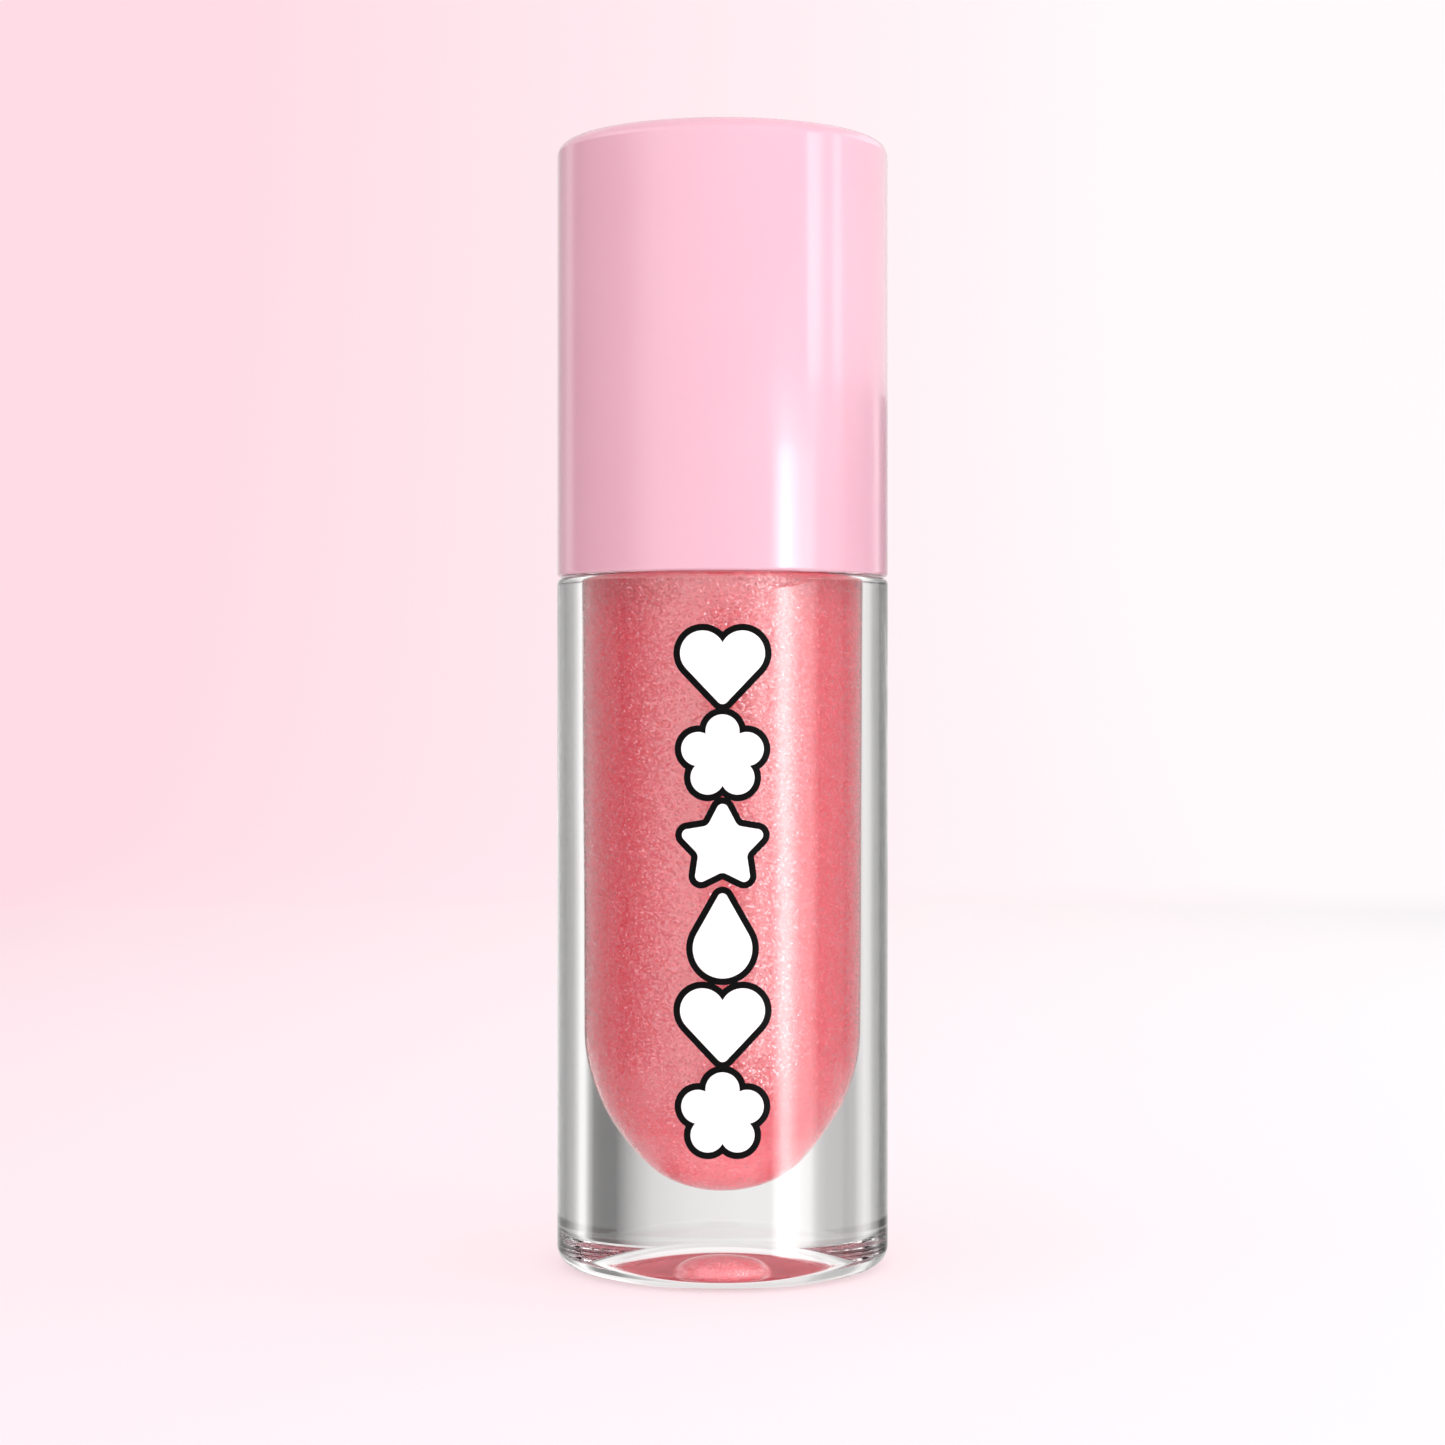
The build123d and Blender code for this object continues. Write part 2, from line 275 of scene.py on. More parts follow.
def noise(nodes, links, scale, detail=2.0, roughness=0.5, stretch=(1, 1, 1)):
    """A noise texture in object space, scale in cells per metre."""
    texture = nodes.new("ShaderNodeTexNoise")
    texture.inputs["Scale"].default_value = scale
    texture.inputs["Detail"].default_value = detail
    texture.inputs["Roughness"].default_value = roughness
    mapping = nodes.new("ShaderNodeMapping")
    mapping.inputs["Scale"].default_value = stretch
    links.new(object_coordinates(nodes), mapping.inputs["Vector"])
    links.new(mapping.outputs["Vector"], texture.inputs["Vector"])
    return texture.outputs["Fac"]


def cells(nodes, links, scale):
    """A Voronoi texture in object space, scale in cells per metre. Returns its outputs."""
    texture = nodes.new("ShaderNodeTexVoronoi")
    texture.inputs["Scale"].default_value = scale
    links.new(object_coordinates(nodes), texture.inputs["Vector"])
    return texture.outputs


def ramp(nodes, links, factor, stops):
    """A colour ramp over stops of (place, colour)."""
    node = nodes.new("ShaderNodeValToRGB")
    while len(node.color_ramp.elements) < len(stops):
        node.color_ramp.elements.new(0.5)
    for element, (spot, colour) in zip(node.color_ramp.elements, stops):
        element.position = spot
        element.color = colour
    links.new(factor, node.inputs["Fac"])
    return node.outputs["Color"]


def spread(nodes, links, factor, low, high, start=0.0, end=1.0):
    """A number from low to high as factor goes from start to end."""
    node = nodes.new("ShaderNodeMapRange")
    node.inputs["From Min"].default_value = start
    node.inputs["From Max"].default_value = end
    node.inputs["To Min"].default_value = low
    node.inputs["To Max"].default_value = high
    links.new(factor, node.inputs["Value"])
    return node.outputs["Result"]


def blend_colours(nodes, links, factor, first, second):
    """first where factor is 0, second where it is 1. Each is a colour or a socket."""
    node = nodes.new("ShaderNodeMix")
    node.data_type = "RGBA"
    links.new(factor, node.inputs["Factor"])
    for value, socket in ((first, node.inputs["A"]), (second, node.inputs["B"])):
        if isinstance(value, tuple):
            socket.default_value = value
        else:
            links.new(value, socket)
    return node.outputs["Result"]


def vector_sum(nodes, links, operation, first, second):
    """ADD or SUBTRACT of two vectors, the first a socket and the second a socket or a plain vector."""
    node = nodes.new("ShaderNodeVectorMath")
    node.operation = operation
    links.new(first, node.inputs[0])
    if isinstance(second, tuple):
        node.inputs[1].default_value = second
    else:
        links.new(second, node.inputs[1])
    return node.outputs["Vector"]


def tilted_normal(nodes, links, draw, amount):
    """The surface normal, tilted by a random colour (each channel 0 to 1) times an amount."""
    lean = vector_sum(nodes, links, "SUBTRACT", draw, (0.5, 0.5, 0.5))
    tilt = nodes.new("ShaderNodeVectorMath")
    tilt.operation = "SCALE"
    links.new(lean, tilt.inputs[0])
    links.new(amount, tilt.inputs["Scale"])
    surface = nodes.new("ShaderNodeNewGeometry").outputs["Normal"]
    unit = nodes.new("ShaderNodeVectorMath")
    unit.operation = "NORMALIZE"
    links.new(vector_sum(nodes, links, "ADD", surface, tilt.outputs["Vector"]), unit.inputs[0])
    return unit.outputs["Vector"]


def bump(nodes, links, height, strength, distance):
    """A normal that follows small heights, distance in metres."""
    node = nodes.new("ShaderNodeBump")
    node.inputs["Strength"].default_value = strength
    node.inputs["Distance"].default_value = distance
    links.new(height, node.inputs["Height"])
    return node.outputs["Normal"]


# ---------------------------------------------------------------- materials


def clear_plastic():
    """Thick moulded PETG: clear, with the slight unevenness of a moulded wall."""
    material, nodes, links, shader = new_material("clear_petg")
    shader.inputs["Base Color"].default_value = (0.985, 0.98, 0.978, 1)
    shader.inputs["Roughness"].default_value = 0.0
    shader.inputs["IOR"].default_value = 1.57
    shader.inputs["Transmission Weight"].default_value = 1.0
    wave = noise(nodes, links, 180, detail=1, stretch=(1, 1, 0.25))
    links.new(bump(nodes, links, wave, 0.03, 0.001), shader.inputs["Normal"])
    return material


def shimmer_gloss():
    """Coral gloss full of fine pearl: a satin body with flakes that each catch the light their own way."""
    material, nodes, links, shader = new_material("shimmer_gloss")
    draw = cells(nodes, links, 9500)["Color"]
    split = nodes.new("ShaderNodeSeparateColor")
    links.new(draw, split.inputs["Color"])
    flake = spread(nodes, links, split.outputs["Red"], 0.0, 1.0, start=0.84, end=0.94)
    cloud = noise(nodes, links, 900, detail=4, roughness=0.65)
    body = ramp(nodes, links, cloud, [(0.30, linear(255, 54, 77)), (0.70, linear(255, 78, 100))])
    colour = blend_colours(nodes, links, flake, body, linear(255, 106, 127))
    links.new(colour, shader.inputs["Base Color"])
    links.new(spread(nodes, links, flake, 0.0, 0.12), shader.inputs["Metallic"])
    links.new(spread(nodes, links, flake, 0.25, 0.18), shader.inputs["Roughness"])
    shader.inputs["IOR"].default_value = 1.8
    shader.inputs["Specular IOR Level"].default_value = 0.8
    shader.inputs["Coat Weight"].default_value = 1.0
    shader.inputs["Coat Roughness"].default_value = 0.03
    shader.inputs["Coat IOR"].default_value = 1.2
    tilt = spread(nodes, links, flake, 0.40, 0.8)
    links.new(tilted_normal(nodes, links, draw, tilt), shader.inputs["Normal"])
    return material


def moulded_plastic(name, light, dark, roughness, coat=0.0, subsurface=0.0):
    """Injection-moulded plastic: faint clouding, fine surface grain, roughness that varies a little."""
    material, nodes, links, shader = new_material(name)
    cloud = noise(nodes, links, 90, detail=3)
    links.new(ramp(nodes, links, cloud, [(0.3, dark), (0.7, light)]), shader.inputs["Base Color"])
    fine = noise(nodes, links, 2600, detail=2)
    links.new(spread(nodes, links, fine, roughness * 0.9, roughness * 1.15), shader.inputs["Roughness"])
    links.new(bump(nodes, links, fine, 0.04, 0.00002), shader.inputs["Normal"])
    shader.inputs["Coat Weight"].default_value = coat
    shader.inputs["Coat Roughness"].default_value = 0.05
    shader.inputs["Subsurface Weight"].default_value = subsurface
    shader.inputs["Subsurface Scale"].default_value = 0.0008
    return material


def ink(name, light, dark):
    """Screen-printed ink: slightly uneven, with a soft shine."""
    material, nodes, links, shader = new_material(name)
    cloud = noise(nodes, links, 700, detail=3)
    links.new(ramp(nodes, links, cloud, [(0.35, dark), (0.65, light)]), shader.inputs["Base Color"])
    fine = noise(nodes, links, 9000, detail=1)
    links.new(spread(nodes, links, fine, 0.28, 0.42), shader.inputs["Roughness"])
    links.new(bump(nodes, links, fine, 0.06, 0.00001), shader.inputs["Normal"])
    shader.inputs["Specular IOR Level"].default_value = 0.06
    return material


def foam():
    """Closed-cell foam of the washer: pale, dull, pocked."""
    material, nodes, links, shader = new_material("foam")
    pocks = cells(nodes, links, 4200)["Distance"]
    # The tone is darker towards the middle of each pock: painted shade in the small hollows.
    tone = ramp(nodes, links, pocks, [(0.1, linear(214, 212, 208)), (0.6, linear(240, 239, 236))])
    links.new(tone, shader.inputs["Base Color"])
    links.new(bump(nodes, links, pocks, 0.4, 0.00006), shader.inputs["Normal"])
    shader.inputs["Roughness"].default_value = 0.85
    return material


def wet_flock():
    """Short white fibres soaked with gloss: coral, paler and darker in soft clouds, with a soft sheen."""
    material, nodes, links, shader = new_material("wet_flock")
    cloud = noise(nodes, links, 1500, detail=3)
    tone = ramp(nodes, links, cloud, [(0.3, linear(214, 108, 112)), (0.7, linear(240, 168, 172))])
    links.new(tone, shader.inputs["Base Color"])
    shader.inputs["Roughness"].default_value = 0.38
    shader.inputs["Sheen Weight"].default_value = 0.3
    shader.inputs["Sheen Roughness"].default_value = 0.4
    return material


# ---------------------------------------------------------------- pieces


def thread_height(angles, z, start_z, start_deg, turns, height):
    """How far a screw ridge stands out at each angle of a ring, with ends that run out smoothly."""
    total = np.zeros(len(angles))
    start = radians(start_deg)
    for lap in range(-1, int(turns) + 2):
        along = (angles - start) % (2 * pi) + 2 * pi * lap
        middle = start_z + LEAD * along / (2 * pi)
        off = np.abs(z - middle)
        flank = np.clip((THREAD_HALF_BASE - off) / (THREAD_HALF_BASE - THREAD_HALF_CREST), 0, 1)
        fade = radians(THREAD_FADE_DEG)
        ends = np.clip(np.minimum(along, 2 * pi * turns - along) / fade, 0, 1)
        ease = ends * ends * (3 - 2 * ends)
        total = np.maximum(total, flank * ease)
    return total * height


def cavity(grow):
    """The bullet's outline from its lowest point up to the shoulder, moved outwards by grow."""
    nose_z = CAVITY_Z + CAVITY_NOSE
    rise = CAVITY_NOSE - CAVITY_TIP_R
    side_r = (CAVITY_R**2 + rise**2 - CAVITY_TIP_R**2) / (2 * (CAVITY_R - CAVITY_TIP_R))
    turn = atan2(rise, side_r - CAVITY_R)
    points = []
    reach = CAVITY_TIP_R + grow
    for angle in np.linspace(-pi / 2, -turn, 33):
        points.append((reach * cos(angle), CAVITY_Z + CAVITY_TIP_R + reach * sin(angle)))
    reach = side_r + grow
    for angle in np.linspace(-turn, 0, 25)[1:]:
        points.append((CAVITY_R - side_r + reach * cos(angle), nose_z + reach * sin(angle)))
    return points + [(CAVITY_TOP_R + grow, SHOULDER_Z)]


def bottle():
    """Clear body with the threaded neck, one closed wall."""
    thread_low = SHOULDER_Z + 0.7
    thread_high = NECK_TOP - 0.5
    bore_z = 50.0  # a ring of points part way down the neck's straight bore
    dome_r = (DOME_R**2 + DOME_H**2) / (2 * DOME_H)
    dome = [(r, sqrt(dome_r**2 - r**2) - dome_r + DOME_H) for r in np.linspace(0, DOME_R - 0.3, 24)]
    outside = rounded(
        dome
        + [
            (DOME_R, 0, DOME_FILLET),
            (OUTER_R, 0, BASE_FILLET),
            (OUTER_R, SHOULDER_Z, SHOULDER_FILLET),
            (NECK_R, SHOULDER_Z, NECK_ROOT_FILLET),
            (NECK_R, thread_low),
        ],
        steps=14,
    )
    outside += rows((NECK_R, thread_low), (NECK_R, thread_high), 110)[1:]
    lip = rounded(
        [
            (NECK_R, thread_high),
            (NECK_R, NECK_TOP, NECK_LIP_FILLET),
            (NECK_BORE_R, NECK_TOP, 0.1),
            (NECK_BORE_R, bore_z),
        ]
    )
    inside = list(reversed(cavity(0)))
    inside[-1] = (0, CAVITY_Z)

    def ridge(angles, r, z):
        if abs(r - NECK_R) > 1e-6 or not thread_low <= z <= thread_high:
            return np.full(len(angles), float(r))
        return r + thread_height(angles, z, MALE_START_Z, 0, MALE_TURNS, MALE_CREST_R - NECK_R)

    profile = outside + lip[1:] + [(NECK_BORE_R, SHOULDER_Z + 0.5)] + inside
    return lathe("bottle_clear", profile, closed=False, swell=ridge)


def gloss():
    """The liquid, a touch wider than the cavity to wet its wall, with a meniscus and the wand's well."""
    wall = cavity(WETTED)
    wall[0] = (0, CAVITY_Z - WETTED)
    top_r = NECK_BORE_R + WETTED
    top = [(top_r, SHOULDER_Z + 0.5), (top_r, GLOSS_LEVEL)]
    for n in range(1, 9):
        share = n / 8
        top.append((top_r - MENISCUS_REACH * share, GLOSS_LEVEL - MENISCUS * (1 - (1 - share) ** 2)))
    level = GLOSS_LEVEL - MENISCUS
    well_end = WELL_Z + WELL_R
    top += rounded([(top_r - MENISCUS_REACH, level), (WELL_R, level, 0.3), (WELL_R, well_end)])[1:]
    well = [(WELL_R * cos(a), well_end + WELL_R * sin(a)) for a in -np.linspace(0, pi / 2, 16)[1:-1]]
    return lathe("gloss_fill", wall + top + well + [(0, WELL_Z)], closed=False, segments=192)


def wiper():
    """Soft plug: flange on the neck's lip, ringed barrel, funnel down to the wiping edge."""
    barrel_z = NECK_TOP - WIPER_BARREL_H
    outside = [(WIPER_R, NECK_TOP)]
    for depth in WIPER_RING_DEPTHS:
        for rise, radius in ((0.32, WIPER_R), (0.2, WIPER_RING_R), (-0.2, WIPER_RING_R), (-0.32, WIPER_R)):
            outside.append((radius, NECK_TOP - depth + rise))
    profile = rounded(
        [
            (WIPER_MOUTH_R, WIPER_TOP, 0.3),
            (WIPER_FLANGE_R, WIPER_TOP, 0.2),
            (WIPER_FLANGE_R, NECK_TOP),
            *outside,
            (WIPER_R, barrel_z, 0.2),
            (WIPER_LIP_R, WIPER_EDGE_Z, 0.15),
            (WIPER_ORIFICE_R, WIPER_EDGE_Z, 0.1),
            (WIPER_ORIFICE_R, WIPER_EDGE_Z + 0.5, 0.15),
            (WIPER_MOUTH_R, barrel_z + 0.6, 0.4),
        ],
        steps=6,
    )
    return lathe("wiper_plug", profile, segments=128)


def cap_shell():
    """Outer cap: glossy outside, open below."""
    ceiling = CAP_TOP - SHELL_TOP_T
    profile = rounded(
        [
            (0, CAP_TOP),
            (OUTER_R, CAP_TOP, SHELL_TOP_FILLET),
            (OUTER_R, CAP_Z, SHELL_RIM_FILLET),
            (SHELL_R, CAP_Z, 0.12),
            (SHELL_R, ceiling, 0.6),
            (0, ceiling),
        ],
        steps=14,
    )
    return lathe("cap_shell_pink", profile, closed=False)


def shell_fins():
    """The ribs under the shell's ceiling that hold the inner cap down, each a plain block."""
    mesh = bmesh.new()
    low = (INNER_TOP + 0.05) * MM
    high = (CAP_TOP - SHELL_TOP_T + 0.1) * MM
    buried = SHELL_R + 0.1
    for n in range(SHELL_RIB_COUNT):
        angle = 2 * pi * n / SHELL_RIB_COUNT
        along = Vector((cos(angle), sin(angle), 0))
        across = Vector((-sin(angle), cos(angle), 0)) * SHELL_RIB_T / 2 * MM
        corners = []
        for z in (low, high):
            for reach, side in ((SHELL_RIB_R, -1), (buried, -1), (buried, 1), (SHELL_RIB_R, 1)):
                corners.append(mesh.verts.new(along * reach * MM + across * side + Vector((0, 0, z))))
        for face in ((3, 2, 1, 0), (4, 5, 6, 7), (0, 1, 5, 4), (1, 2, 6, 5), (2, 3, 7, 6), (3, 0, 4, 7)):
            mesh.faces.new([corners[i] for i in face])
    return finished("cap_shell_fins", mesh)


def inner_cap():
    """Threaded liner with outside ribs and the socket for the wand's head."""
    thread_low = INNER_Z + 0.3
    thread_high = INNER_CEILING_Z - 2.0
    profile = rounded(
        [
            (INNER_BORE_R, thread_low),
            (INNER_BORE_R, INNER_Z, 0.15),
            (INNER_R, INNER_Z, 0.2),
            (INNER_R, INNER_Z + 0.6),
            (INNER_R, INNER_TOP - 0.3),
            (INNER_R, INNER_TOP, 0.2),
            (SOCKET_R, INNER_TOP, 0.4),
            (SOCKET_R, SOCKET_TOP, 0.2),
            (SOCKET_BORE_R, SOCKET_TOP, 0.1),
            (SOCKET_BORE_R, INNER_CEILING_Z, 0.1),
            (INNER_BORE_R, INNER_CEILING_Z, 0.3),
            (INNER_BORE_R, thread_high),
        ],
        steps=5,
    )
    profile += rows((INNER_BORE_R, thread_high), (INNER_BORE_R, thread_low), 90)[1:-1]
    start_z = MALE_START_Z - FEMALE_DROP + LEAD * FEMALE_START_DEG / 360

    def shape(angles, r, z):
        if abs(r - INNER_BORE_R) < 1e-6:
            depth = INNER_BORE_R - FEMALE_CREST_R
            return r - thread_height(angles, z, start_z, FEMALE_START_DEG, FEMALE_TURNS, depth)
        if abs(r - INNER_R) < 1e-6:
            phase = (angles * INNER_RIB_COUNT / (2 * pi) + 0.5) % 1 - 0.5
            width = np.abs(phase) * 2 * pi / INNER_RIB_COUNT * INNER_R
            return np.where(width < INNER_RIB_T / 2, INNER_RIB_R, r)
        return np.full(len(angles), float(r))

    return lathe("inner_cap_liner", profile, swell=shape, segments=384)


def sealing_washer():
    """Foam ring, its four edges softly rounded."""
    low, high = (corner.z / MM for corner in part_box("sealing_washer"))
    corners = ((WASHER_HOLE_R, low), (WASHER_R, low), (WASHER_R, high), (WASHER_HOLE_R, high))
    profile = rounded([(*corner, 0.15) for corner in corners], steps=6)
    return lathe("sealing_washer_foam", profile, segments=160)


def wand_stem():
    """Rod with the sealing cone, the stop flange and the barbed head."""
    hole_z = STEM_Z + SHANK_HOLE_H
    barb_z = SOCKET_TOP + 0.05
    head_z = barb_z + STEM_BARB_H
    profile = rounded(
        [
            (0, hole_z),
            (SHANK_HOLE_R, hole_z),
            (SHANK_HOLE_R, STEM_Z),
            (STEM_R, STEM_Z, 0.2),
            (STEM_R, PLUG_Z - PLUG_TAPER_H, 0.8),
            (PLUG_TIP_R, PLUG_Z, 0.3),
            (PLUG_R, STEM_FLANGE_Z, 0.12),
            (STEM_FLANGE_R, STEM_FLANGE_Z),
            (STEM_FLANGE_R, INNER_CEILING_Z),
            (STEM_HEAD_R, INNER_CEILING_Z),
            (STEM_HEAD_R, barb_z),
            (STEM_BARB_R, barb_z, 0.1),
            (STEM_BARB_TIP_R, head_z, 0.3),
            (0, head_z),
        ],
        steps=8,
    )
    return lathe("wand_stem_rod", profile, closed=False, segments=128)


def bed_radius(z):
    """The flock bed's round radius at a height. Its nose is fuller than an ellipse."""
    low = TIP_Z + BED_DEPTH
    widest = TIP_R - BED_DEPTH
    if z < TIP_WIDEST_Z:
        drop = (TIP_WIDEST_Z - z) / (TIP_WIDEST_Z - low)
        return widest * max(0.0, 1 - drop**TIP_FULLNESS) ** (1 / TIP_FULLNESS)
    share = (z - TIP_WIDEST_Z) / (STEM_Z - TIP_WIDEST_Z)
    ease = share * share * (3 - 2 * share)
    return widest + (TIP_WAIST_R - TIP_R) * ease


def flock_bed():
    """The bed of the flock: the doe-foot form with its flat wiping face."""
    nose = TIP_WIDEST_Z - TIP_Z - BED_DEPTH
    heights = [TIP_WIDEST_Z - nose * cos(a) for a in np.linspace(0, pi / 2, 40)]
    heights += list(np.linspace(TIP_WIDEST_Z, STEM_Z, 60))[1:]
    profile = [(bed_radius(z), z) for z in heights]
    profile[0] = (0, TIP_Z + BED_DEPTH)
    profile.append((0, STEM_Z))
    bed = lathe("flock_bed", profile, closed=False, segments=96)
    for vertex in bed.data.vertices:
        face_x = (FACE_X + BED_DEPTH) * MM - (vertex.co.z - TIP_Z * MM) * tan(FACE_LEAN)
        vertex.co.x = max(vertex.co.x, face_x)
    return bed


def flock_fibres(bed):
    """Short fibres standing on the bed, each a thin spike, laid out from a seeded draw."""
    draw = np.random.default_rng(7)
    mesh = bmesh.new()
    mesh.from_mesh(bed.data)
    bmesh.ops.triangulate(mesh, faces=mesh.faces)
    # The flat top, which lies against the stem, grows no fibres.
    roots = [f for f in mesh.faces if f.calc_area() > 0 and f.normal.z < 0.95]
    areas = np.array([f.calc_area() for f in roots])
    chosen = draw.choice(len(roots), FIBRE_COUNT, p=areas / areas.sum())
    top = (STEM_Z - 0.15) * MM
    thirds = [2 * pi * n / 3 for n in range(3)]
    fibres = bmesh.new()
    for index in chosen:
        face = roots[index]
        a, b = sorted(draw.random(2))
        corners = [v.co for v in face.verts]
        root = corners[0] * a + corners[1] * (b - a) + corners[2] * (1 - b)
        lean = Vector(draw.normal(0, FIBRE_SCATTER, 3))
        way = (face.normal + lean).normalized()
        tip = root + way * FIBRE_LENGTH * MM * (0.6 + 0.4 * draw.random())
        tip.z = min(max(tip.z, TIP_Z * MM), top)
        reach = sqrt(tip.x**2 + tip.y**2)
        if reach > TIP_R * MM:
            tip.x *= TIP_R * MM / reach
            tip.y *= TIP_R * MM / reach
        side = way.orthogonal().normalized() * FIBRE_R * MM
        turned = way.cross(side)
        base = [fibres.verts.new(root + side * cos(t) + turned * sin(t)) for t in thirds]
        point = fibres.verts.new(tip)
        fibres.faces.new(reversed(base))
        for n in range(3):
            fibres.faces.new((base[n], base[(n + 1) % 3], point))
    mesh.free()
    return finished("flock_fibres", fibres, sharp=180)


def print_copy(node, name):
    """A printed skin taken from its CAD node, cut finely and laid exactly on the bottle's round wall."""
    mesh = bmesh.new()
    mesh.from_mesh(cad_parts[node].data)
    bmesh.ops.remove_doubles(mesh, verts=mesh.verts, dist=1e-6)
    low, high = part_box(node)
    count = int((high.x - low.x) / (PRINT_STRIP * MM))
    for x in np.linspace(low.x, high.x, count)[1:-1]:
        everything = mesh.verts[:] + mesh.edges[:] + mesh.faces[:]
        bmesh.ops.bisect_plane(mesh, geom=everything, plane_co=(x, 0, 0), plane_no=(1, 0, 0))
    outer = max(sqrt(v.co.x**2 + v.co.y**2) for v in mesh.verts)
    inner = OUTER_R * MM
    for vertex in mesh.verts:
        reach = sqrt(vertex.co.x**2 + vertex.co.y**2)
        wanted = outer if reach > (inner + outer) / 2 else inner
        angle = atan2(vertex.co.y, vertex.co.x)
        vertex.co.x = wanted * cos(angle)
        vertex.co.y = wanted * sin(angle)
    bmesh.ops.recalc_face_normals(mesh, faces=mesh.faces)
    skin = finished(name, mesh)
    normals = []
    for polygon in skin.data.polygons:
        for index in polygon.vertices:
            corner = skin.data.vertices[index].co
            outward = Vector((corner.x, corner.y, 0)).normalized()
            normals.append(outward if polygon.normal.dot(outward) > 0.9 else polygon.normal)
    skin.data.normals_split_custom_set(normals)
    return skin


# ---------------------------------------------------------------- the object

clear = clear_plastic()
pink = moulded_plastic(
    "pink_cap", linear(220, 172, 188), linear(218, 168, 185), 0.16, coat=0.5, subsurface=0.05
)
liner = moulded_plastic("liner_plastic", linear(238, 236, 232), linear(230, 228, 224), 0.42)
soft = moulded_plastic("wiper_plastic", linear(236, 234, 230), linear(228, 226, 221), 0.5, subsurface=0.2)
rod = moulded_plastic("wand_plastic", linear(240, 236, 234), linear(233, 228, 226), 0.25, subsurface=0.15)
core = moulded_plastic("tip_plastic", linear(236, 232, 228), linear(226, 222, 217), 0.5)
flock = wet_flock()

place(bottle(), "tube", clear, "clear_wall", "bottle")
place(gloss(), "tube", shimmer_gloss(), "shimmer_gloss", "gloss")
place(wiper(), "tube", soft, "wiper_plastic", "wiper")
white = ink("white_ink", linear(255, 255, 255), linear(250, 249, 249))
black = ink("black_ink", linear(5, 4, 5), linear(2, 2, 2))
place(print_copy("print_fill", "print_white"), "tube", white, "white_ink", "print_fill")
place(print_copy("print_outline", "print_dark"), "tube", black, "black_ink", "print_outline")

place(sealing_washer(), "washer", foam(), "foam", "sealing_washer")

place(cap_shell(), "cap", pink, "pink_cap", "cap_shell")
place(shell_fins(), "cap", pink, "pink_cap")
place(inner_cap(), "cap", liner, "liner_plastic", "inner_cap")
place(wand_stem(), "cap", rod, "wand_plastic", "wand_stem")
bed = flock_bed()
place(flock_fibres(bed), "cap", flock, "flock")
place(bed, "cap", flock, "flock", "flock_coat")
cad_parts["applicator_tip"].data.materials.clear()
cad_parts["applicator_tip"].data.materials.append(core)


# ---------------------------------------------------------------- studio

# A ring of soft light stands round the tube, in metres. It is cut into bands by height, because the
# base, the bottle, the cap's lower part and the cap's upper part each mirror a band of their own.
RING_R = 0.35
RING_LOW = -0.3
BOTTLE_LOW = -0.08
CAP_LOW = 0.0745
CAP_MIDDLE = 0.092
TOP_LOW = 0.17
RING_HIGH = 0.3
COLUMN_DEG = 8  # about how wide a flat strip of a curved sheet is
TABLE_Z = -0.32
TABLE_R = 0.5
TABLE_RADIANCE = 0.8

# Each list below holds stops of (azimuth in degrees from the camera's side towards +X, radiance).
# Below the bottle, where its thick base sees it:
BOTTOM_BAND = [
    (-175, 0.8),
    (-110, 0.8),
    (-70, 1.8),
    (-40, 2.2),
    (31, 2.2),
    (60, 1.8),
    (110, 0.6),
    (185, 0.8),
]
# Left side and back, with the dark and bright strips that show in the clear wall:
LEFT_AND_BACK = [
    (-175, 0.8),
    (-161, 0.8),
    (-158, 0.74),
    (-156, 0.58),
    (-152, 0.48),
    (-143, 0.45),
    (-139, 0.5),
    (-136, 0.7),
    (-132, 0.88),
    (-128, 0.78),
    (-124, 0.4),
    (-120, 0.1),
    (-114, 0.06),
    (-70, 0.2),
    (-46, 1.45),
    (31, 1.45),
]
# Right side and back, likewise:
RIGHT_AND_BACK = [
    (117, 0.1),
    (121, 0.16),
    (125, 0.36),
    (129, 0.72),
    (132, 1.05),
    (135, 1.02),
    (138, 0.52),
    (141, 0.2),
    (145, 0.15),
    (151, 0.15),
    (155, 0.34),
    (159, 0.5),
    (163, 0.62),
    (173, 0.74),
    (185, 0.8),
]
# Right side and back at the height where only the cap mirrors it:
CAP_RIGHT = [(117, 0.95), (150, 0.9), (185, 0.8)]
# The key light at the bottle, which makes its one broad streak:
BOTTLE_KEY = [
    (31, 1.45),
    (33, 1.8),
    (37, 5.4),
    (41, 10.0),
    (45, 10.0),
    (49, 6.8),
    (54, 4.4),
    (62, 3.7),
    (68, 1.5),
    (69, 1.2),
    (88, 0.9),
    (92, 0.2),
    (117, 0.1),
]
# The key light at the cap's lower part, one soft streak:
LOW_KEY = [
    (31, 1.4),
    (33, 2.1),
    (53, 2.2),
    (55, 1.9),
    (66, 1.6),
    (68, 1.3),
    (88, 0.9),
    (92, 0.2),
    (117, 0.1),
]
# The key light at the cap's upper part, two thin streaks:
HIGH_KEY = [
    (31, 1.45),
    (59, 1.3),
    (60, 4.6),
    (66, 4.2),
    (72, 2.6),
    (73, 1.4),
    (80, 1.4),
    (81, 3.0),
    (88, 3.0),
    (90, 1.3),
    (117, 0.95),
]
# Above it all, for the cap's rounded top edge:
TOP_BAND = [
    (-175, 0.8),
    (-110, 0.8),
    (-80, 2.2),
    (20, 1.9),
    (60, 1.4),
    (90, 1.8),
    (130, 1.8),
    (160, 0.8),
    (185, 0.8),
]


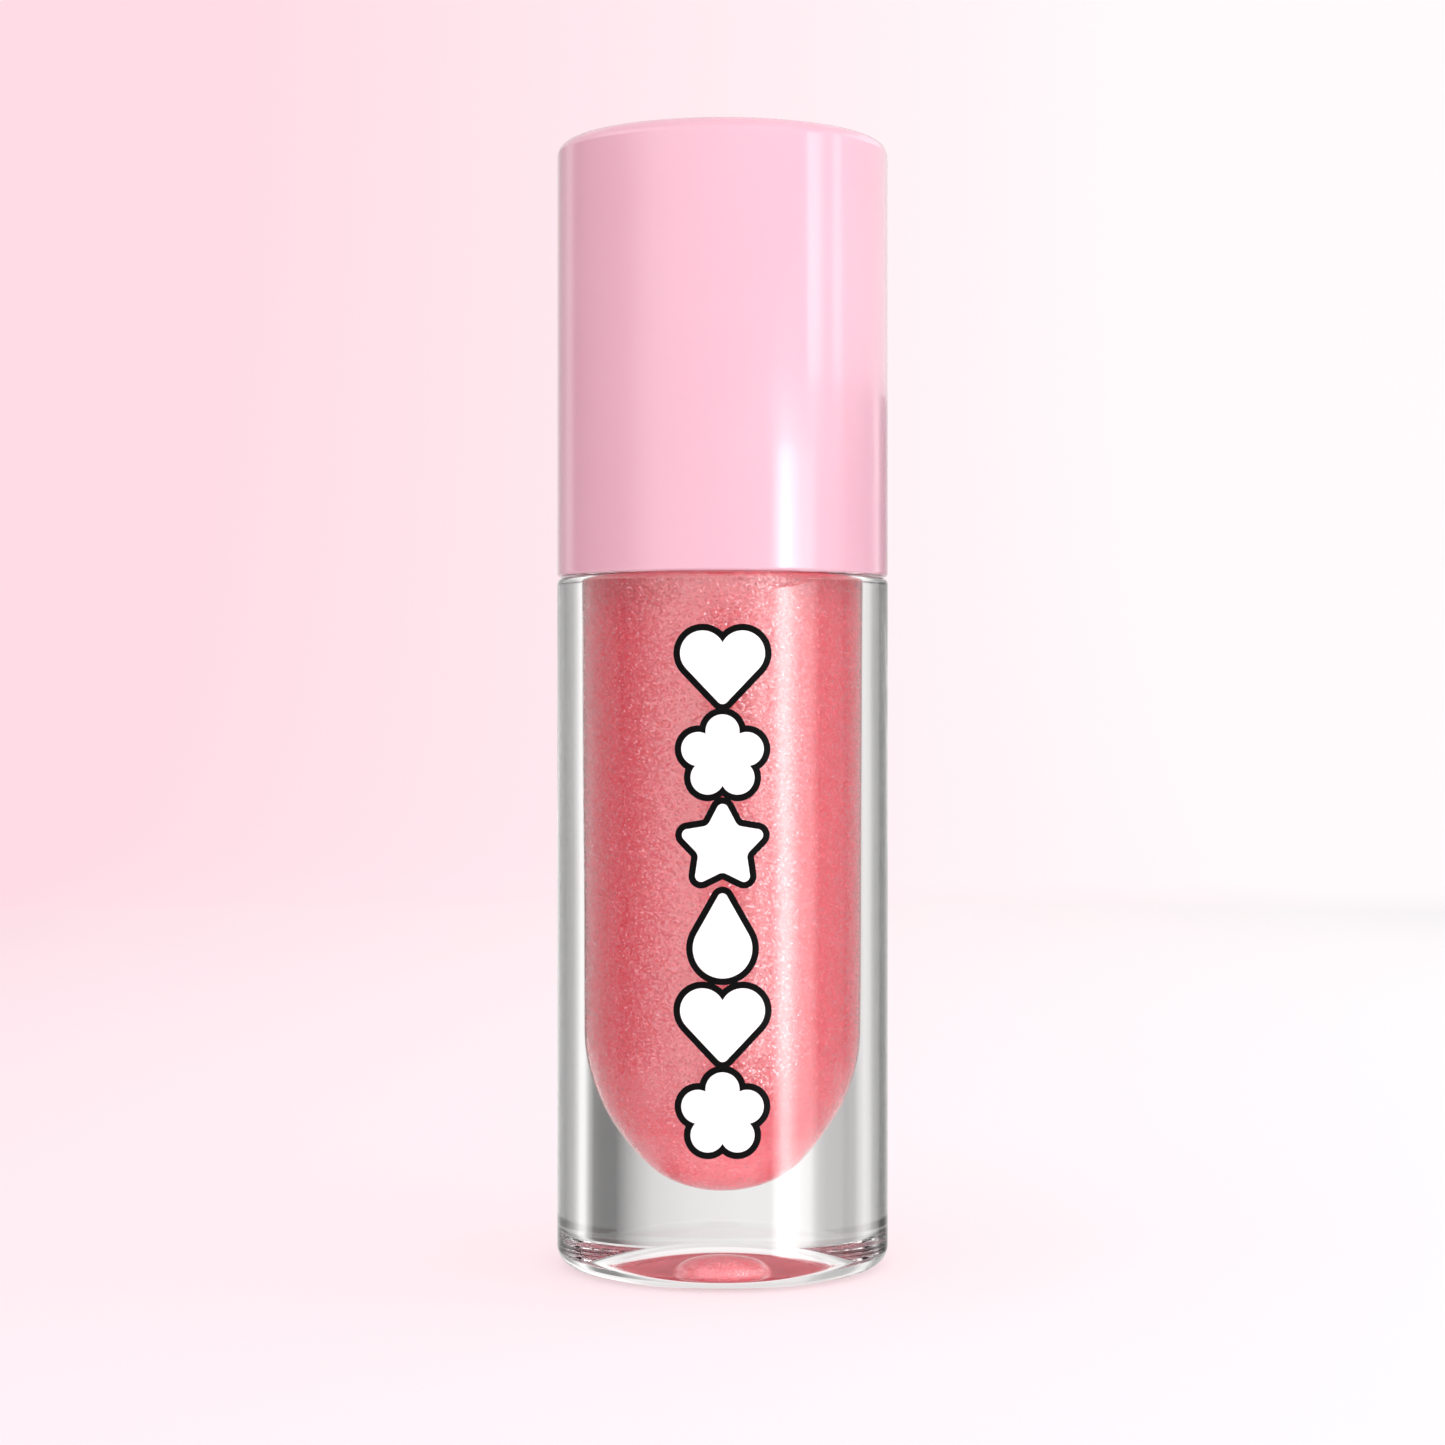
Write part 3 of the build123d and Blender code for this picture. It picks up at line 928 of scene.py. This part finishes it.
def glow(name):
    """A plain light-giving material whose strength is painted on the mesh."""
    material = bpy.data.materials.new(name)
    material.use_nodes = True
    nodes = material.node_tree.nodes
    nodes.clear()
    painted = nodes.new("ShaderNodeAttribute")
    painted.attribute_name = "radiance"
    light = nodes.new("ShaderNodeEmission")
    light.inputs["Color"].default_value = (1.0, 0.99, 0.985, 1)
    out = nodes.new("ShaderNodeOutputMaterial")
    material.node_tree.links.new(painted.outputs["Fac"], light.inputs["Strength"])
    material.node_tree.links.new(light.outputs["Emission"], out.inputs["Surface"])
    return material


def lit_sheet(name, mesh, radiances):
    """A studio sheet from a bmesh: it glows by its radiances, vertex by vertex, unseen by the camera."""
    sheet = finished(name, mesh)
    painted = sheet.data.attributes.new("radiance", "FLOAT", "POINT")
    painted.data.foreach_set("value", radiances)
    sheet.data.materials.append(glow(name))
    sheet.visible_camera = False


def curtain(name, stops, low, high):
    """A curved sheet round the tube, whose radiance runs evenly from one stop to the next."""
    mesh = bmesh.new()
    columns = []
    radiances = []
    for (start, first), (end, last) in zip(stops, stops[1:]):
        steps = max(1, round((end - start) / COLUMN_DEG))
        for n in range(steps):
            columns.append(start + (end - start) * n / steps)
            radiances.append(first + (last - first) * n / steps)
    columns.append(stops[-1][0])
    radiances.append(stops[-1][1])
    verts = []
    for azimuth in columns:
        x, y = RING_R * sin(radians(azimuth)), -RING_R * cos(radians(azimuth))
        verts.append((mesh.verts.new((x, y, low)), mesh.verts.new((x, y, high))))
    for here, after in zip(verts, verts[1:]):
        mesh.faces.new((here[0], after[0], after[1], here[1]))
    lit_sheet(name, mesh, np.repeat(radiances, 2))


def light_table():
    """A glowing round sheet below the floor, which lights the liquid through the clear base."""
    mesh = bmesh.new()
    bmesh.ops.create_circle(mesh, cap_ends=True, segments=48, radius=TABLE_R)
    bmesh.ops.translate(mesh, verts=mesh.verts, vec=(0, 0, TABLE_Z))
    lit_sheet("light_table", mesh, [TABLE_RADIANCE] * len(mesh.verts))


def cyclorama():
    """A pale round floor that curves up into a wall. Clear parts and mirrored light look past it."""
    material, nodes, links, shader = new_material("studio_paper")
    split = nodes.new("ShaderNodeSeparateXYZ")
    links.new(object_coordinates(nodes), split.inputs["Vector"])
    side = spread(nodes, links, split.outputs["X"], 0.0, 1.0, start=-0.14, end=0.12)
    tone = ramp(nodes, links, side, [(0.0, linear(255, 224, 233)), (1.0, linear(255, 253, 254))])
    # The paper gives most of its own light, so that the tube's shadow on it stays faint.
    dim = nodes.new("ShaderNodeValue").outputs["Value"]
    dim.default_value = 0.6
    links.new(blend_colours(nodes, links, dim, tone, (0, 0, 0, 1)), shader.inputs["Base Color"])
    links.new(tone, shader.inputs["Emission Color"])
    shader.inputs["Emission Strength"].default_value = 0.62
    shader.inputs["Roughness"].default_value = 0.95
    shader.inputs["Specular IOR Level"].default_value = 0.1
    # In millimetres, like every turned piece.
    floor_z = -0.1
    flat_r, bend_r, wall_z = 420, 260, 900
    profile = [(0, floor_z), (flat_r / 2, floor_z)]
    for angle in np.linspace(-pi / 2, 0, 25):
        profile.append((flat_r + bend_r * cos(angle), floor_z + bend_r * (1 + sin(angle))))
    profile.append((flat_r + bend_r, wall_z))
    paper = lathe("studio_floor", profile, closed=False, segments=128)
    paper.data.materials.append(material)
    paper.visible_glossy = False
    paper.visible_transmission = False


cyclorama()
curtain("bottom_band", BOTTOM_BAND, RING_LOW, BOTTLE_LOW)
curtain("curtain_left", LEFT_AND_BACK, BOTTLE_LOW, TOP_LOW)
curtain("curtain_right", RIGHT_AND_BACK, BOTTLE_LOW, CAP_MIDDLE)
curtain("cap_right", CAP_RIGHT, CAP_MIDDLE, TOP_LOW)
curtain("key_bottle", BOTTLE_KEY, BOTTLE_LOW, CAP_LOW)
curtain("key_low", LOW_KEY, CAP_LOW, CAP_MIDDLE)
curtain("key_high", HIGH_KEY, CAP_MIDDLE, TOP_LOW)
curtain("top_band", TOP_BAND, TOP_LOW, RING_HIGH)
light_table()

world = bpy.data.worlds.new("studio_air")
bpy.context.scene.world = world
world.use_nodes = True
world.node_tree.nodes["Background"].inputs["Color"].default_value = (1.0, 0.99, 0.99, 1)
world.node_tree.nodes["Background"].inputs["Strength"].default_value = 1.0

# ---------------------------------------------------------------- camera

camera_data = bpy.data.cameras.new("camera")
camera_data.lens = 73.8
camera_data.sensor_width = 36.0
camera_data.shift_y = -0.0163
camera_data.clip_start = 0.005
camera = bpy.data.objects.new("camera", camera_data)
bpy.context.scene.collection.objects.link(camera)
camera.location = (0, -0.1975, 0.0374)
camera.rotation_euler = (pi / 2, 0, 0)
bpy.context.scene.camera = camera
bpy.context.scene.view_settings.view_transform = "Standard"

# The clear wall, the liquid and the recess under the base pass light on to each other many times.
bpy.context.scene.cycles.max_bounces = 24
bpy.context.scene.cycles.glossy_bounces = 16
bpy.context.scene.cycles.transmission_bounces = 20
